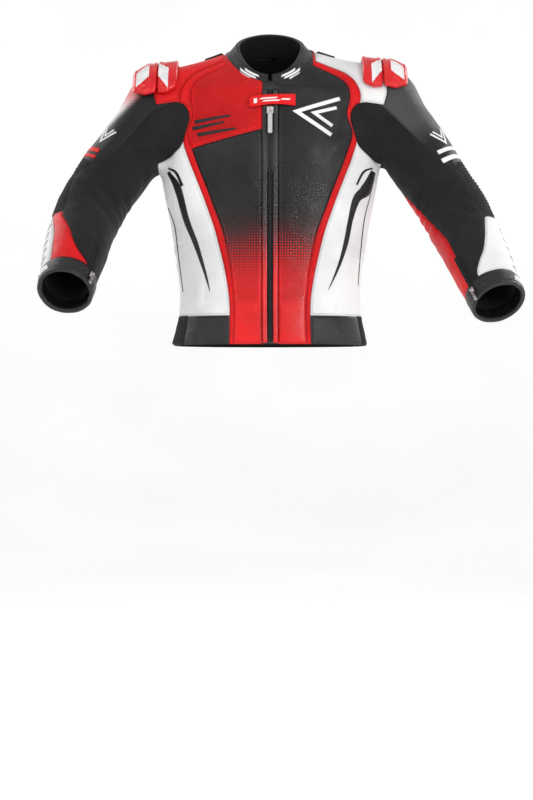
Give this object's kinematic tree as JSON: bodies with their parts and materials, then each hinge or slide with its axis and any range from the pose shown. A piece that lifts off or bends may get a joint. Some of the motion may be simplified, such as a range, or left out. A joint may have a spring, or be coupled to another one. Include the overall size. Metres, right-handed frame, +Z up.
{
  "type": "leather riding jacket",
  "caption": "Race-cut leather motorcycle jacket in red, black and white, with pre-bent sleeves, shoulder cups, front zip, neck tab and back hump.",
  "frame": {"origin": "centre of the neck opening, at the height where the shoulder seams meet the collar; a neck or a hanger holds the jacket up here", "axes": "+Z up, the front with its zip faces -Y, +X is the wearer's left"},
  "size_m": [0.8553, 0.4291, 0.59],
  "materials": {
    "leather_red": "satin finished cowhide, bright red",
    "leather_white": "satin finished cowhide, white",
    "leather_black_perforated": "perforated black cowhide fading to red at the hem",
    "leather_black": "satin finished cowhide, black",
    "leather_red_tab": "thin red leather with a sewn edge",
    "stretch_black": "ribbed stretch textile, black",
    "mesh_lining": "fine black mesh",
    "hump_plastic": "black leather over a moulded foam pod",
    "cup_shell": "moulded red polyurethane cup with white inserts",
    "armour_foam": "soft moulded protector foam",
    "zip_tape": "woven zip tape, black",
    "zip_placket": "folded black leather edge beside the zip",
    "zip_teeth": "moulded zip teeth, black",
    "zip_metal": "die-cast zip slider and puller, satin nickel",
    "hook_pad": "hook-and-loop pad, black"
  },
  "bodies": {
    "jacket_body": {"back_centre_panel": "leather_black", "back_side_panel_left": "leather_black", "back_side_panel_right": "leather_black", "back_stretch_panel": "stretch_black", "band_left": "leather_red", "band_right": "leather_red", "chest_panel_right": "leather_red", "collar_shell": "leather_black", "connection_zip": "zip_teeth", "front_panel_left": "leather_black_perforated", "front_panel_right": "leather_black_perforated", "front_zip_tapes": "zip_tape", "front_zip_teeth": "zip_teeth", "hump_shell": "hump_plastic", "lining": "mesh_lining", "neck_tab_hook_pad": "hook_pad", "shoulder_cup_inner_left": "cup_shell", "shoulder_cup_inner_right": "cup_shell", "shoulder_cup_outer_left": "cup_shell", "shoulder_cup_outer_right": "cup_shell", "shoulder_protectors": "armour_foam", "side_panel_left": "leather_white", "side_panel_right": "leather_white", "waist_stretch_panels": "stretch_black", "waistband_back": "leather_black", "waistband_left": "leather_black", "waistband_right": "leather_black", "yoke_left": "leather_white", "yoke_right": "leather_red", "zip_plackets": "zip_placket"},
    "front_slider": {"front_zip_slider": "zip_metal"},
    "front_puller": {"front_zip_puller": "zip_metal"},
    "neck_tab": {"neck_tab": "leather_red_tab"},
    "sleeve_right": {"sleeve_outer_right": "leather_black", "sleeve_inner_right": "stretch_black", "shoulder_gusset_right": "stretch_black"},
    "forearm_right": {"elbow_gusset_right": "stretch_black", "elbow_panel_right": "stretch_black", "forearm_outer_right": "leather_red", "forearm_inner_right": "stretch_black", "cuff_right": "leather_black", "elbow_protector_right": "armour_foam", "cuff_zip_tape_right": "zip_tape", "cuff_zip_teeth_right": "zip_teeth"},
    "cuff_slider_right": {"cuff_zip_slider_right": "zip_metal"},
    "cuff_puller_right": {"cuff_zip_puller_right": "zip_metal"},
    "sleeve_left": {"sleeve_outer_left": "leather_black", "sleeve_inner_left": "stretch_black", "shoulder_gusset_left": "stretch_black"},
    "forearm_left": {"elbow_gusset_left": "stretch_black", "elbow_panel_left": "stretch_black", "forearm_outer_left": "leather_white", "forearm_inner_left": "stretch_black", "cuff_left": "leather_black", "elbow_protector_left": "armour_foam", "cuff_zip_tape_left": "zip_tape", "cuff_zip_teeth_left": "zip_teeth"},
    "cuff_slider_left": {"cuff_zip_slider_left": "zip_metal"},
    "cuff_puller_left": {"cuff_zip_puller_left": "zip_metal"}
  },
  "joints": [
    {"name": "front_zip_slide", "type": "slide", "parent": "jacket_body", "child": "front_slider", "axis": [0, -0.0384, -0.9993], "range_m": [0, 0.39]},
    {"name": "front_puller_swing", "type": "hinge", "parent": "front_slider", "child": "front_puller", "pos_m": [0, -0.10573, -0.10496], "axis": [-1, 0, 0], "range_deg": [0, 150]},
    {"name": "neck_tab_fold", "type": "hinge", "parent": "jacket_body", "child": "neck_tab", "pos_m": [0.046, -0.0957, -0.085], "axis": [0, 0, 1], "range_deg": [0, 150]},
    {"name": "shoulder_right", "type": "hinge", "parent": "jacket_body", "child": "sleeve_right", "pos_m": [-0.215, 0.005, -0.112], "axis": [0, 1, 0], "range_deg": [-15, 45], "deforming": ["shoulder_gusset_right"]},
    {"name": "elbow_right", "type": "hinge", "parent": "sleeve_right", "child": "forearm_right", "pos_m": [-0.335, -0.03, -0.275], "axis": [-0.6956, -0.4181, 0.5842], "range_deg": [-30, 44], "deforming": ["elbow_gusset_right", "elbow_panel_right"]},
    {"name": "cuff_zip_slide_right", "type": "slide", "parent": "forearm_right", "child": "cuff_slider_right", "axis": [0.1576, 0.7202, 0.6756], "range_m": [0, 0.072]},
    {"name": "cuff_puller_swing_right", "type": "hinge", "parent": "cuff_slider_right", "child": "cuff_puller_right", "pos_m": [-0.30759, -0.23427, -0.41017], "axis": [-0.5276, -0.5169, 0.6741], "range_deg": [0, 150]},
    {"name": "shoulder_left", "type": "hinge", "parent": "jacket_body", "child": "sleeve_left", "pos_m": [0.222, 0.005, -0.11], "axis": [0, -1, 0], "range_deg": [-15, 45], "deforming": ["shoulder_gusset_left"]},
    {"name": "elbow_left", "type": "hinge", "parent": "sleeve_left", "child": "forearm_left", "pos_m": [0.344, -0.03, -0.286], "axis": [-0.7677, 0.3203, -0.555], "range_deg": [-30, 44], "deforming": ["elbow_gusset_left", "elbow_panel_left"]},
    {"name": "cuff_zip_slide_left", "type": "slide", "parent": "forearm_left", "child": "cuff_slider_left", "axis": [-0.3104, 0.6063, 0.7322], "range_m": [0, 0.072]},
    {"name": "cuff_puller_swing_left", "type": "hinge", "parent": "cuff_slider_left", "child": "cuff_puller_left", "pos_m": [0.35148, -0.20751, -0.43601], "axis": [-0.5134, 0.5413, -0.6659], "range_deg": [0, 150]}
  ]
}
